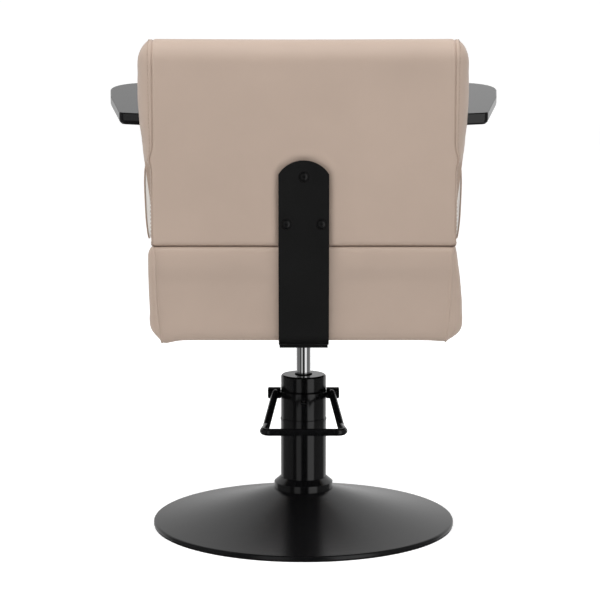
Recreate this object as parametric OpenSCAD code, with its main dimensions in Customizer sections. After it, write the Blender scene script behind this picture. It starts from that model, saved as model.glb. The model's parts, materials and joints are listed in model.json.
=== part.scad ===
// Hairdressing chair: round base, hydraulic column with a foot lever, upholstered seat and
// back on a flat steel strap, gloss arms over padded side panels.
// The chair faces +Y and stands on the floor at z = 0, on the axis of its column.

/* [Base] */
// Outside diameter of the round base
base_d = 540; // [480:5:600]
// Height of the base rim's top edge above the floor
rim_h = 10; // [9:0.5:14]
// Height that the base cover climbs from its rim to its hub
cover_rise = 55; // [45:1:70]
// Share of the cover's mean slope that it has at the rim
cover_flare = 0.62; // [0.5:0.02:0.9]
// Thickness of the cover's sheet
cover_wall = 2.5; // [1.5:0.1:3]
// Thickness of the flat floor plate
plate_t = 5; // [4:0.5:6]
// Thickness of the rubber ring under the rim
gasket_t = 3; // [2:0.5:4]
// Diameter of the collar on the cover's hub
collar_d = 105; // [98:1:120]
// Height of the collar's straight band
collar_band_h = 12; // [8:1:20]
// Height of the collar's sloping shoulder
collar_slope_h = 9; // [4:1:14]

/* [Pump] */
// Outside diameter of the column
column_d = 81.2; // [76:0.2:86]
// Wall of the column's tube
column_wall = 4; // [3:0.5:5]
// Height of the column's top edge above the floor
column_top = 190; // [170:1:210]
// Height of the pump head above the column
head_h = 82.4; // [76:0.2:90]
// How much narrower the head is than the column
head_step = 0.6; // [0.2:0.1:2]
// Height of the narrow lip round the head's foot
lip_h = 4.5; // [2:0.5:8]
// Radius of the head's top edge
head_edge = 4; // [2:0.5:6]
// Diameter of the chromed piston rod
rod_d = 25.5; // [22:0.5:28]
// Outside diameter of the wiper seal round the rod
seal_d = 31; // [30:0.5:36]
// How far the wiper seal stands above the head
seal_stand = 1.6; // [1:0.2:6]
// Bore of the pressure cylinder inside the column
cylinder_bore = 32; // [30:1:34]
// Wall of the pressure cylinder
cylinder_wall = 5; // [4:0.5:5]
// Length of the piston that slides in the cylinder
piston_len = 22; // [16:1:30]
// Free rod between the seal's foot and the tray at rest
rod_show = 65.1; // [60:0.1:80]

/* [Foot lever] */
// Diameter of the bent lever rod
lever_d = 12.6; // [10:0.2:14]
// Reach of the lever bar behind the column axis
lever_reach = 176; // [165:1:200]
// Width of the lever bar over its corners
lever_w = 151; // [130:1:170]
// Drop of the lever bar below the pivot
lever_drop = 35.2; // [30:0.2:45]
// Distance between the legs where they enter the yoke
lever_root_w = 98; // [96:1:104]
// Bend radius at the bar's corners, to the rod's centre
lever_bend = 12; // [8:1:20]
// Radius of the two upright bends in a leg, to the rod's centre
leg_bend = 18; // [12:1:22]
// Level length of a leg behind its block
stub_len = 10; // [8:1:16]
// Level length of a leg before the bar's corner
tread_len = 30; // [15:1:40]
// Height of the lever pivot above the column's top
pivot_up = 49; // [44:1:54]
// Width across the yoke's two blocks
yoke_w = 127.6; // [122:0.5:136]
// Height of a yoke block
yoke_h = 19.6; // [16:0.2:22]
// Length of a yoke block from front to back
yoke_len = 26; // [24:1:32]
// Height of the bar that wraps round the head
band_h = 10; // [8:0.5:12]
// Thickness of the bar that wraps round the head
band_t = 5; // [4:0.5:6]
// Diameter of a pivot pin
pivot_pin_d = 10; // [8:0.5:12]

/* [Seat carrier] */
// Width of the steel strap that carries the back
strap_w = 84.5; // [70:0.5:100]
// Thickness of the strap
strap_t = 8; // [6:0.5:10]
// Distance from the column axis back to the strap's upright face
strap_reach = 222; // [212:1:228]
// Height above the floor where the strap becomes upright
strap_knee = 489.5; // [470:0.5:505]
// Lean of the strap below its knee, in mm per mm
strap_lean = 0.11; // [0.06:0.01:0.14]
// Inner bend radius at the strap's foot
strap_bend = 14; // [10:1:20]
// Height of the strap's rounded top above the floor
strap_top = 675; // [655:1:690]
// Radius of the strap's rounded top
strap_nose = 50; // [44:1:70]
// Depth of the folded tray under the strap
tray_h = 22.5; // [16:0.5:26]
// Length of the tray from front to back
tray_len = 200; // [180:1:220]
// Sheet thickness of the tray
tray_wall = 4; // [3:0.5:5]
// Length of the socket that grips the rod
socket_len = 30; // [24:1:32]

/* [Seat] */
// Width of the seat across its top seams
seat_w = 516; // [500:2:530]
// Depth of the seat from the strap to its front
seat_depth = 484; // [460:1:486]
// Height of the seat block
seat_h = 161; // [150:1:170]
// How far the seat's sides swell
seat_swell = 6.5; // [2:0.5:8]
// Rise of the seat's crown above its seams
seat_crown = 14; // [6:1:24]
// Radius of the seat's lower edges
seat_foot_r = 18; // [12:1:24]
// Thickness of the plywood boards
board_t = 15; // [12:1:18]

/* [Back] */
// Width of the back across its rear seams
back_w = 504; // [496:2:512]
// Height of the back from its lower to its upper edge
back_h = 343; // [330:1:360]
// Thickness of the back at its foot
back_t = 104; // [98:1:112]
// How much thinner the back is at its top
back_taper = 18; // [6:1:24]
// Width that the side gusset stands out beyond the rear seams
gusset_out = 21; // [12:1:24]
// Height above the back's foot where the gusset narrows over the side panels
gusset_waist = 150; // [125:1:155]
// Thickness of the padded rear panel
rear_panel_t = 14; // [12:1:18]
// Thickness of the back's plywood board
back_board_t = 12; // [10:1:15]

/* [Arms] */
// Width over both arms
arms_w = 694; // [670:2:720]
// Length of an arm
arm_len = 287; // [270:1:300]
// Distance from the column axis back to the arm's rear edge
arm_rear = 112; // [104:1:114]
// Height of the arm's top at its rear edge
arm_top_z = 746.5; // [735:0.5:760]
// Thickness of an arm
arm_t = 22; // [18:1:26]
// Rise of the arms towards the front, in degrees
arm_slope = 8; // [4:0.5:10]
// Clear width between the arms
arm_gap = 448; // [440:2:450]
// Distance between the two arm frames
arm_frame_gap = 480; // [476:1:484]
// Diameter of the arm frame's tube
arm_tube_d = 18; // [16:0.5:20]
// Distance between the two legs of an arm frame
arm_leg_pitch = 160; // [140:1:170]
// Clear width between the side panels
panel_gap = 452; // [446:2:456]
// Thickness of a side panel
panel_t = 46; // [42:1:50]
// Length of a side panel
panel_len = 255; // [235:1:262]
// Height of a side panel
panel_h = 137; // [125:1:145]

/* [Hidden] */
$fn = 96;

// Clearances: a running fit, a snug fit in one body, and soft on hard
run = 0.06;
snug = 0.03;
lay = 0.3;

// Base and column
base_r = base_d / 2;
rim_r = 4;
plate_r = base_r - 14;
plate_top = gasket_t + plate_t;
column_r = column_d / 2;
column_in = column_r - column_wall;
hub_z = rim_h + cover_rise;
collar_r = collar_d / 2;
flange_r = 65;
flange_t = 10;
flange_top = plate_top + flange_t;
bolt_circle_r = 53;
bolt_r = 5;
cover_steps = 16;

// Pump head, rod and what turns or slides inside
head_r = column_r - head_step / 2;
head_top = column_top + head_h;
spigot_h = 14;
rod_r = rod_d / 2;
seal_r = seal_d / 2;
seal_seat = head_top - 8.5;
seal_bevel = 0.8;
bush_r = seal_r + 2;
bush_foot = seal_seat - 16;
cylinder_r = cylinder_bore / 2 + cylinder_wall;
piston_r = cylinder_bore / 2 - run;
pivot_z = column_top + pivot_up;
tray_foot = head_top + rod_show;
tray_top = tray_foot + tray_h;
rod_top = tray_top - tray_wall - 1;
socket_r = 19;
rod_spigot_r = 8;
rod_spigot_h = 18;
washer_t = 2;
// The piston hangs low enough to lift by 75 mm and sink by 45 mm
piston_drop = 132.5;
piston_top = head_top - piston_drop;
piston_foot = piston_top - piston_len;
rod_foot = piston_top + washer_t + 2 * run;

// Plunger behind the cylinder, worked by the yoke's finger
plunger_y = -(cylinder_r + 10.5);
plunger_r = 4;
plunger_cap_r = 6;
plunger_cap_h = 7;
plunger_len = 50;
dome_r = 8;
dome_h = dome_r - sqrt(dome_r * dome_r - plunger_cap_r * plunger_cap_r);
finger_foot = pivot_z + 0.2;
plunger_top = finger_foot - 1.5 * lay;
cap_foot = plunger_top - dome_h - plunger_cap_h;
pocket_r = 7.2;
pocket_foot = cap_foot - 21;
spring_wire = 1.6;
spring_r = 5.7;
spring_turns = 5;

// Yoke and lever
// The bar wraps round an axis behind the head's own, so that it clears the legs at its sides
// and the head at its rear, also when the lever is down
band_back = 6;
band_rear = head_r + 5.2;
band_in = band_rear - band_back;
band_out = band_in + band_t;
band_side_r = head_r + 1.8;
finger_w = 7;
finger_h = 4.6;
slot_w = finger_w + 2;
slot_up = finger_h + 1.2;
slot_down = 14.5;
pin_r = pivot_pin_d / 2;
yoke_r = yoke_h / 2;
yoke_back = yoke_len - yoke_h;
yoke_bevel = 1.5;
block_in = head_r + 0.6;
lever_r = lever_d / 2;
lever_root_y = -(pin_r + 1.5);
lever_up = 2;
lever_root = lever_root_w / 2;
// Centre of the bar's corner bend, and a leg's way to its tangent point, both in plan
corner_x = lever_w / 2 - lever_r - lever_bend;
corner_run = lever_reach - lever_bend + lever_root_y;
corner_way = sqrt(pow(corner_x - lever_root, 2) + corner_run * corner_run);
leg_splay = atan((corner_x - lever_root) / corner_run) + asin(lever_bend / corner_way);
leg_run = sqrt(corner_way * corner_way - lever_bend * lever_bend);
// The straight slope between a leg's upper and lower bends
slope_run = leg_run - stub_len - tread_len;
slope_fall = lever_drop + lever_up - 2 * leg_bend;
slope_way = sqrt(slope_run * slope_run + slope_fall * slope_fall);
leg_slope = asin(2 * leg_bend / slope_way) + atan(slope_fall / slope_run);
slope_len = sqrt(slope_way * slope_way - 4 * leg_bend * leg_bend);
rod_lap = 0.4;
rod_step = 0.02;

// Strap, seat and boards
strap_foot = tray_top;
seat_foot = strap_foot + strap_t;
seat_top = seat_foot + seat_h;
seat_front = seat_depth - strap_reach;
seat_side = seat_w / 2;
seat_edge_r = 9;
seat_roll_r = 24;
seat_gap = 2.4;
seat_corner_r = 26;
seat_foam_r = 30;
dust_t = 1;
board_foot = seat_foot + dust_t;
board_top = board_foot + board_t;
board_side = seat_side - 13;
board_corner_r = 18;
board_planed = 8;
board_rear = -(strap_reach - 24);
board_front = seat_front - 22;
foam_side = seat_side - 52;
foam_rear = board_rear + 16;
foam_front = board_front - 4;
foam_top = seat_top - 24;
strap_face_low = -(strap_reach - strap_lean * (strap_knee - seat_foot));
strap_front = 0.48 * tray_len;
tray_bolt_x = 28;
tray_bolt_y = 0.35 * tray_len;
m8_r = 4;
tee_r = 5;
tee_flange_r = 9;
tee_flange_t = 1.5;
screw_head_r = 8;
screw_head_h = 4;

// Back
back_foot = seat_top + 1.5;
back_top = back_foot + back_h;
back_side = back_w / 2;
panel_face = -strap_reach + lay;
board_plane = panel_face + rear_panel_t;
back_face = -strap_reach + back_t;
back_board_front = board_plane + back_board_t;
screw_top = [0, strap_top - 27];
screw_low = [29.3, strap_top - 106];
strap_screw_spots = [screw_top, screw_low, [-screw_low[0], screw_low[1]]];

// Arms and side panels
arm_out = arms_w / 2;
arm_in = arm_gap / 2;
arm_front = arm_len - arm_rear;
arm_foot_z = arm_top_z - arm_t;
frame_x = arm_frame_gap / 2;
tube_r = arm_tube_d / 2;
// Foot plates of the arm frames, which reach inboard to their bolts
foot_in = board_side - 36;
foot_out = board_side;
foot_half = 16;
foot_t = 4;
foot_bolt_x = foot_in + 12;
m8_nut_r = 7.2;
m8_nut_h = 6.5;
frame_bolt_sink = 6;
bar_w = 24;
bar_t = 6;
bar_len = arm_leg_pitch + 62;
arm_mid_y = 18;
arm_roll = 9;
arm_bevel = 1.6;
arm_screw_r = 2.1;
arm_screw_len = 13;
leg_y = [arm_mid_y - arm_leg_pitch / 2, arm_mid_y + arm_leg_pitch / 2];
arm_screw_y = [arm_mid_y - bar_len / 2 + 10, arm_mid_y + bar_len / 2 - 10];
panel_in = panel_gap / 2;
panel_foot = seat_top + lay;
panel_rear = back_face + 4;
panel_low_r = 15;
panel_top_r = 18;

// Points of an arc round c from angle a0 to a1
function arc(c, r, a0, a1, n) =
    [for (i = [0:n]) let (a = a0 + (a1 - a0) * i / n) c + r * [cos(a), sin(a)]];

// Points between p and q, both left out, that swell by s along the direction d
function swell_run(p, q, d, s, n) =
    [for (i = [1:n]) let (t = i / (n + 1)) p + (q - p) * t + d * s * 4 * t * (1 - t)];

// Rounded rectangle whose sides swell by sx and whose rear and front swell by s0 and s1
function soft_ring(x0, x1, y0, y1, r, sx, s0, s1, n = 7) = concat(
    arc([x1 - r, y0 + r], r, -90, 0, 5),
    swell_run([x1, y0 + r], [x1, y1 - r], [1, 0], sx, n),
    arc([x1 - r, y1 - r], r, 0, 90, 5),
    swell_run([x1 - r, y1], [x0 + r, y1], [0, 1], s1, n),
    arc([x0 + r, y1 - r], r, 90, 180, 5),
    swell_run([x0, y1 - r], [x0, y0 + r], [-1, 0], sx, n),
    arc([x0 + r, y0 + r], r, 180, 270, 5),
    swell_run([x0 + r, y0], [x1 - r, y0], [0, -1], s0, n));

// A ring of plan points lifted to height z
function lift_ring(ring, z) = [for (p = ring) [p[0], p[1], z]];

// Heights and insets of a rounded edge: lower edge r0, upper edge r1, between z0 and z1
function edge_levels(z0, z1, r0, r1, n) = concat(
    [for (i = [0:3]) let (a = 90 * i / 3) [z0 + r0 * (1 - cos(a)), r0 * (1 - sin(a))]],
    [for (i = [1:n]) [z0 + r0 + (z1 - r1 - z0 - r0) * i / (n + 1), 0]],
    [for (i = [0:3]) let (a = 90 * i / 3) [z1 - r1 + r1 * sin(a), r1 * (1 - cos(a))]]);

// Skin over a stack of rings, closed by a point at each end
module stacked_form(rings, low_tip, high_tip) {
    m = len(rings[0]);
    k = len(rings);
    points = concat([for (ring = rings) each ring], [low_tip, high_tip]);
    sides = [for (j = [0:k - 2], i = [0:m - 1])
        let (a = j * m + i, b = j * m + (i + 1) % m, c = b + m, d = a + m)
        each [[a, c, b], [a, d, c]]];
    low = [for (i = [0:m - 1]) [k * m, i, (i + 1) % m]];
    high = [for (i = [0:m - 1]) [k * m + 1, (k - 1) * m + (i + 1) % m, (k - 1) * m + i]];
    polyhedron(points = points, faces = concat(sides, low, high), convexity = 6);
}

// A plate with rounded corners, from corner p to corner q
module rounded_plate(p, q, r) {
    size = q - p;
    translate(p) union() {
        translate([r, 0, 0]) cube([size[0] - 2 * r, size[1], size[2]]);
        translate([0, r, 0]) cube([size[0], size[1] - 2 * r, size[2]]);
        for (x = [r, size[0] - r], y = [r, size[1] - r])
            translate([x, y, 0]) cylinder(r = r, h = size[2]);
    }
}

module tube(r_out, r_in, z0, z1) {
    difference() {
        translate([0, 0, z0]) cylinder(r = r_out, h = z1 - z0);
        translate([0, 0, z0 - 1]) cylinder(r = r_in, h = z1 - z0 + 2);
    }
}

// Both sides of the chair get the same child, the left one mirrored
module at_side(side) {
    mirror([side < 0 ? 1 : 0, 0, 0]) children();
}

module at_corners(x, y) {
    for (sx = [-x, x], sy = [-y, y]) translate([sx, sy, 0]) children();
}

// Base

module base_gasket() {
    color("dimgray") rotate_extrude($fn = 180) polygon([
        [base_r - 34, 0], [base_r - 1, 0], [base_r - 1, gasket_t],
        [base_r - cover_wall - 0.5, gasket_t], [base_r - cover_wall - 0.5, rim_h - rim_r],
        [plate_r + 0.3, rim_h - rim_r], [plate_r + 0.3, gasket_t], [base_r - 34, gasket_t]]);
}

module base_plate() {
    color("darkslategray") difference() {
        translate([0, 0, gasket_t]) cylinder(r = plate_r, h = plate_t, $fn = 180);
        for (a = [45:90:315]) rotate(a) translate([bolt_circle_r, 0, gasket_t - 1])
            cylinder(r = bolt_r + snug, h = plate_t + 2, $fn = 32);
    }
}

// Height of the cover's top at share u of the way from its rim to its hub
function cover_z(u) = rim_h + cover_rise * (cover_flare * u + (1 - cover_flare) * u * u);
function cover_curve(drop) =
    [for (i = [0:cover_steps]) let (u = i / cover_steps, r0 = base_r - rim_r)
        [r0 - u * (r0 - collar_r - 1), cover_z(u) - drop]];

module base_cover() {
    skin = cover_curve(0);
    lining = cover_curve(cover_wall);
    color([0.1, 0.1, 0.1]) rotate_extrude($fn = 180) polygon(concat(
        [[base_r, gasket_t]],
        arc([base_r - rim_r, rim_h - rim_r], rim_r, 0, 90, 5),
        [for (i = [1:cover_steps]) skin[i]],
        [[column_r + 1.2, hub_z], [column_r + 1.2, hub_z - cover_wall]],
        [for (i = [cover_steps:-1:0]) lining[i]],
        [[base_r - cover_wall, rim_h - rim_r], [base_r - cover_wall, gasket_t]]));
}

module base_collar() {
    color([0.12, 0.12, 0.12]) rotate_extrude() polygon([
        [column_r + run, hub_z], [collar_r, hub_z], [collar_r, hub_z + collar_band_h],
        [column_r + 1.2, hub_z + collar_band_h + collar_slope_h],
        [column_r + run, hub_z + collar_band_h + collar_slope_h]]);
}

module base_bolts() {
    color("silver") for (a = [45:90:315]) rotate(a) translate([bolt_circle_r, 0, 0]) union() {
        translate([0, 0, gasket_t + 0.5]) cylinder(r = bolt_r, h = flange_top - gasket_t, $fn = 32);
        translate([0, 0, flange_top]) cylinder(r = 8.5, h = 6, $fn = 6);
    }
}

// Pump

module column_flange() {
    color([0.12, 0.12, 0.12]) difference() {
        translate([0, 0, plate_top]) cylinder(r = flange_r, h = flange_t);
        for (a = [45:90:315]) rotate(a) translate([bolt_circle_r, 0, plate_top - 1])
            cylinder(r = bolt_r + 0.3, h = flange_t + 2, $fn = 32);
    }
}

module pump_column() {
    color([0.12, 0.12, 0.12]) tube(column_r, column_in, flange_top, column_top);
}

module pump_cylinder() {
    color("gray") tube(cylinder_r, cylinder_bore / 2, flange_top, bush_foot);
}

module pump_head() {
    color([0.08, 0.08, 0.08]) difference() {
        rotate_extrude() polygon(concat(
            [[0, column_top - spigot_h], [column_in - snug, column_top - spigot_h],
             [column_in - snug, column_top], [column_r + 0.8, column_top],
             [column_r + 0.8, column_top + lip_h - 1], [head_r, column_top + lip_h]],
            arc([head_r - head_edge, head_top - head_edge], head_edge, 0, 90, 8),
            [[0, head_top]]));
        translate([0, 0, column_top - spigot_h - 1])
            cylinder(r = cylinder_r + snug, h = bush_foot - column_top + spigot_h + 1);
        translate([0, 0, bush_foot - 1]) cylinder(r = bush_r + snug, h = seal_seat - bush_foot + 1);
        translate([0, 0, seal_seat - 1]) cylinder(r = seal_r + snug, h = head_top);
        // Plunger bore, its spring pocket and the slot for the yoke's finger
        translate([0, plunger_y, column_top - spigot_h - 1])
            cylinder(r = plunger_r + run, h = head_h, $fn = 48);
        translate([0, plunger_y, pocket_foot])
            cylinder(r = pocket_r, h = pivot_z + slot_up - pocket_foot, $fn = 48);
        translate([-slot_w / 2, -head_r - 5, pivot_z - slot_down])
            cube([slot_w, head_r + 5 + plunger_y + 6, slot_down + slot_up]);
        // Bores for the two pivot pins
        for (side = [-1, 1]) at_side(side) translate([cylinder_r + 5, 0, pivot_z])
            rotate([0, 90, 0]) cylinder(r = pin_r + snug, h = head_r, $fn = 48);
    }
}

module guide_bush() {
    color("goldenrod") tube(bush_r, rod_r + run, bush_foot, seal_seat);
}

module wiper_seal() {
    color("black") rotate_extrude() polygon([
        [rod_r + run, seal_seat], [seal_r, seal_seat], [seal_r, head_top + seal_stand - seal_bevel],
        [seal_r - seal_bevel, head_top + seal_stand],
        [rod_r + run, head_top + seal_stand - seal_bevel / 2]]);
}

module pump_plunger() {
    color("silver") translate([0, plunger_y, 0]) rotate_extrude($fn = 48) polygon(concat(
        [[0, cap_foot - plunger_len], [plunger_r, cap_foot - plunger_len],
         [plunger_r, cap_foot], [plunger_cap_r, cap_foot]],
        arc([0, plunger_top - dome_r], dome_r, acos(plunger_cap_r / dome_r), 90, 5)));
}

// Unbroken coil of six-sided wire round the plunger
module plunger_spring() {
    steps = 14;
    sides = 6;
    z0 = pocket_foot + spring_wire / 2 + 0.1;
    z1 = cap_foot - spring_wire / 2 - 0.1;
    count = spring_turns * steps;
    wire = spring_wire / 2;
    rings = [for (i = [0:count]) let (a = 360 * i / steps, z = z0 + (z1 - z0) * i / count)
        [for (j = [0:sides - 1]) let (b = 360 * j / sides, q = spring_r + wire * cos(b))
            [q * cos(a), q * sin(a), z + wire * sin(b)]]];
    low = [spring_r, 0, z0];
    high = [spring_r * cos(360 * spring_turns), spring_r * sin(360 * spring_turns), z1];
    color("gray") translate([0, plunger_y, 0]) mirror([0, 1, 0])
        stacked_form(rings, low, high);
}

// Foot lever

module lever_pins() {
    color("silver") for (side = [-1, 1]) at_side(side) translate([0, 0, pivot_z])
        rotate([0, 90, 0]) translate([0, 0, cylinder_r + 6])
            cylinder(r = pin_r, h = yoke_w / 2 - cylinder_r - 6, $fn = 48);
}

// One of the yoke's two blocks: round at both ends, the front end about its pivot pin
module yoke_block() {
    len = yoke_w / 2 - block_in;
    translate([block_in, 0, pivot_z]) rotate([90, 0, 90]) union() {
        for (y = [-yoke_back, 0]) translate([y, 0, 0]) union() {
            cylinder(r = yoke_r, h = len - yoke_bevel);
            translate([0, 0, len - yoke_bevel])
                cylinder(r1 = yoke_r, r2 = yoke_r - yoke_bevel, h = yoke_bevel);
        }
        translate([-yoke_back, 0, 0]) rotate([90, 0, 90]) linear_extrude(yoke_back) polygon([
            [-yoke_r, 0], [yoke_r, 0], [yoke_r, len - yoke_bevel], [yoke_r - yoke_bevel, len],
            [yoke_bevel - yoke_r, len], [-yoke_r, len - yoke_bevel]]);
    }
}

module lever_yoke() {
    color([0.08, 0.08, 0.08]) difference() {
        union() {
            difference() {
                translate([0, -band_back, 0])
                    tube(band_out, band_in, pivot_z - band_h / 2, pivot_z + band_h / 2);
                translate([0, 0, pivot_z - band_h]) cylinder(r = band_side_r, h = 2 * band_h);
                translate([-2 * band_out, 0, pivot_z - band_h])
                    cube([4 * band_out, 2 * band_out, 2 * band_h]);
            }
            for (side = [-1, 1]) at_side(side) yoke_block();
            translate([-finger_w / 2, -band_rear - 1, finger_foot])
                cube([finger_w, band_rear + 1 + plunger_y + 3, finger_h]);
        }
        for (side = [-1, 1]) at_side(side) {
            translate([block_in - 1, 0, pivot_z]) rotate([0, 90, 0])
                cylinder(r = pin_r + run, h = yoke_w, $fn = 48);
            translate([lever_root, lever_root_y, pivot_z + lever_up])
                rotate([90, 0, leg_splay]) cylinder(r = lever_r + snug, h = yoke_len, $fn = 48);
        }
    }
}

// Straight length of the lever's rod, along +Y from where it is put. It is a hair thinner than
// the bends and runs a little way into both of them, so that they fuse
module rod_length(len) {
    rotate([-90, 0, 0]) translate([0, 0, -rod_lap])
        cylinder(r = lever_r - rod_step, h = len + 2 * rod_lap, $fn = 48);
}

// Upright bend of the lever's rod about its own centre, from angle a and turning by the slope
module rod_bend(a) {
    rotate([90, 0, 90]) rotate([0, 0, a]) rotate_extrude(angle = leg_slope, $fn = 96)
        translate([leg_bend, 0]) circle(r = lever_r, $fn = 48);
}

// One bent rod: its bar, and on each side a corner, a level tread, a slope and a level stub.
// Each length is drawn in the frame of the one before it
module foot_lever() {
    color([0.08, 0.08, 0.08]) for (side = [-1, 1]) at_side(side)
        translate([corner_x, lever_bend - lever_reach, pivot_z - lever_drop]) union() {
            translate([0, -lever_bend, 0]) rotate([0, 0, 90]) rod_length(corner_x + rod_lap);
            rotate([0, 0, -90]) rotate_extrude(angle = 90 + leg_splay, $fn = 48)
                translate([lever_bend, 0]) circle(r = lever_r, $fn = 48);
            rotate([0, 0, leg_splay]) translate([lever_bend, 0, 0]) {
                rod_length(tread_len);
                translate([0, tread_len, leg_bend]) {
                    rod_bend(-90);
                    rotate([leg_slope, 0, 0]) translate([0, 0, -leg_bend]) {
                        rod_length(slope_len);
                        translate([0, slope_len, -leg_bend]) {
                            rod_bend(90 - leg_slope);
                            rotate([-leg_slope, 0, 0]) translate([0, 0, leg_bend])
                                rod_length(stub_len - rod_lap);
                        }
                    }
                }
            }
        }
}

// Piston and rod

module piston_head() {
    color("gray") tube(piston_r, rod_spigot_r + run, piston_foot, piston_top);
}

module thrust_washer() {
    color("goldenrod") tube(rod_r, rod_spigot_r + run, piston_top, piston_top + washer_t);
}

module piston_rod() {
    color("white") union() {
        translate([0, 0, rod_foot]) cylinder(r = rod_r, h = rod_top - rod_foot);
        translate([0, 0, rod_foot - rod_spigot_h])
            cylinder(r = rod_spigot_r, h = rod_spigot_h + 1);
    }
}

// Carrier under the seat and behind the back

module seat_tray() {
    half = [strap_w / 2 - 0.25, tray_len / 2, 0];
    color([0.1, 0.1, 0.1]) difference() {
        union() {
            difference() {
                translate([-half[0], -half[1], tray_foot]) cube([2 * half[0], 2 * half[1], tray_h]);
                translate([-half[0] + tray_wall, -half[1] + tray_wall, tray_foot - 1])
                    cube([2 * (half[0] - tray_wall), 2 * (half[1] - tray_wall), tray_h - tray_wall + 1]);
            }
            translate([0, 0, tray_top - tray_wall - socket_len])
                cylinder(r = socket_r, h = socket_len + 1);
        }
        translate([0, 0, tray_foot - socket_len])
            cylinder(r = rod_r + snug, h = rod_top + 1 - tray_foot + socket_len);
        at_corners(tray_bolt_x, tray_bolt_y) translate([0, 0, tray_foot])
            cylinder(r = m8_r + 0.2, h = tray_h + 1, $fn = 32);
    }
}

module tray_bolts() {
    foot = tray_top - tray_wall;
    color("silver") at_corners(tray_bolt_x, tray_bolt_y) union() {
        translate([0, 0, foot - 5.5]) cylinder(r = 7, h = 5.5, $fn = 6);
        translate([0, 0, foot]) cylinder(r = m8_r, h = board_top - foot - 1, $fn = 32);
    }
}

// Side view of the strap as [y, z] points, its outer face first
module strap_side() {
    slope = atan(strap_lean);
    inner = strap_bend;
    outer = strap_bend + strap_t;
    // Centre of the foot's bend, where the lean line and the floor line are both tangent
    cz = strap_foot + outer;
    cy = strap_face_low - strap_lean * (cz - seat_foot) + inner / cos(slope);
    knee_out = -strap_reach - strap_t;
    knee_z = strap_knee;
    polygon(concat(
        [[strap_front, strap_foot], [cy, strap_foot]],
        arc([cy, cz], outer, 270, 180 + slope, 8),
        [[knee_out, knee_z + strap_t * tan(slope / 2)], [knee_out, strap_top],
         [-strap_reach, strap_top], [-strap_reach, knee_z]],
        arc([cy, cz], inner, 180 + slope, 270, 8),
        [[cy, seat_foot], [strap_front, seat_foot]]));
}

module back_strap() {
    color([0.13, 0.13, 0.13]) difference() {
        intersection() {
            rotate([90, 0, 90]) translate([0, 0, -strap_w / 2]) linear_extrude(strap_w) strap_side();
            union() {
                translate([0, 0, strap_top - strap_nose]) rotate([90, 0, 0])
                    translate([0, 0, -strap_front - 1])
                        cylinder(r = strap_nose, h = strap_front + strap_reach + strap_t + 2);
                translate([-strap_w, -2 * strap_reach, 0])
                    cube([2 * strap_w, 3 * strap_reach, strap_top - strap_nose]);
            }
        }
        for (spot = strap_screw_spots) translate([spot[0], -strap_reach + 1, spot[1]])
            rotate([90, 0, 0]) cylinder(r = m8_r + 0.2, h = strap_t + 2, $fn = 32);
        at_corners(tray_bolt_x, tray_bolt_y) translate([0, 0, strap_foot - 1])
            cylinder(r = m8_r + 0.2, h = strap_t + 2, $fn = 32);
    }
}

// Domed socket screws that hold the back to the strap
module strap_screws() {
    face = -strap_reach - strap_t;
    color([0.05, 0.05, 0.05]) for (spot = strap_screw_spots)
        translate([spot[0], face, spot[1]]) rotate([90, 0, 0]) difference() {
            union() {
                rotate_extrude($fn = 48) polygon(concat([[0, 0], [screw_head_r, 0]],
                    [for (a = [15:15:75]) [screw_head_r * cos(a), screw_head_h * sin(a)]],
                    [[0, screw_head_h]]));
                translate([0, 0, -(back_board_front - face) + 1])
                    cylinder(r = m8_r, h = back_board_front - face - 1, $fn = 32);
            }
            translate([0, 0, screw_head_h - 2.5]) cylinder(r = 2.9, h = 5, $fn = 6);
        }
}

// Seat

// Section of the board from a to b, with its two lower edges planed off
module planed_section(a, b, grow) {
    foot = board_foot - grow;
    polygon([[a + board_planed, foot], [b - board_planed, foot], [b, foot + board_planed],
        [b, board_top + grow], [a, board_top + grow], [a, foot + board_planed]]);
}

module seat_board_form(grow) {
    side = board_side + grow;
    rear = board_rear - grow;
    front = board_front + grow;
    intersection() {
        rounded_plate([-side, rear, board_foot - grow], [side, front, board_top + grow],
            board_corner_r + grow);
        rotate([90, 0, 0]) translate([0, 0, -seat_depth]) linear_extrude(2 * seat_depth)
            planed_section(-side, side, grow);
        rotate([90, 0, 90]) translate([0, 0, -seat_w]) linear_extrude(2 * seat_w)
            planed_section(rear, front, grow);
    }
}

module seat_board() {
    color("burlywood") difference() {
        seat_board_form(0);
        at_corners(tray_bolt_x, tray_bolt_y) tee_nut_hole(board_foot, board_top);
        at_foot_bolts(board_foot - 1) {
            cylinder(r = m8_r + 0.2, h = board_t + 2, $fn = 32);
            cylinder(r = m8_nut_r + 0.8, h = frame_bolt_sink + 2, $fn = 32);
        }
    }
}

module at_foot_bolts(z) {
    for (side = [-1, 1], y = leg_y) at_side(side) translate([foot_bolt_x, y, z]) children();
}

module tee_nut_hole(z0, z1) {
    translate([0, 0, z0 - 1]) cylinder(r = tee_r + snug, h = z1 - z0 + 2, $fn = 32);
    translate([0, 0, z1 - tee_flange_t - 0.2]) cylinder(r = tee_flange_r + 0.2, h = 5, $fn = 32);
}

module tee_nut(z0, z1) {
    difference() {
        union() {
            translate([0, 0, z0 + 3]) cylinder(r = tee_r, h = z1 - z0 - 4, $fn = 32);
            translate([0, 0, z1 - tee_flange_t - 0.2])
                cylinder(r = tee_flange_r, h = tee_flange_t, $fn = 32);
        }
        translate([0, 0, z0]) cylinder(r = m8_r + snug, h = z1 - z0 + 2, $fn = 32);
    }
}

module seat_tee_nuts() {
    color("silver") at_corners(tray_bolt_x, tray_bolt_y) tee_nut(board_foot, board_top);
}

module seat_foam() {
    color("lightyellow") rounded_plate(
        [-foam_side, foam_rear, board_top], [foam_side, foam_front, foam_top], seat_foam_r);
}

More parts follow.
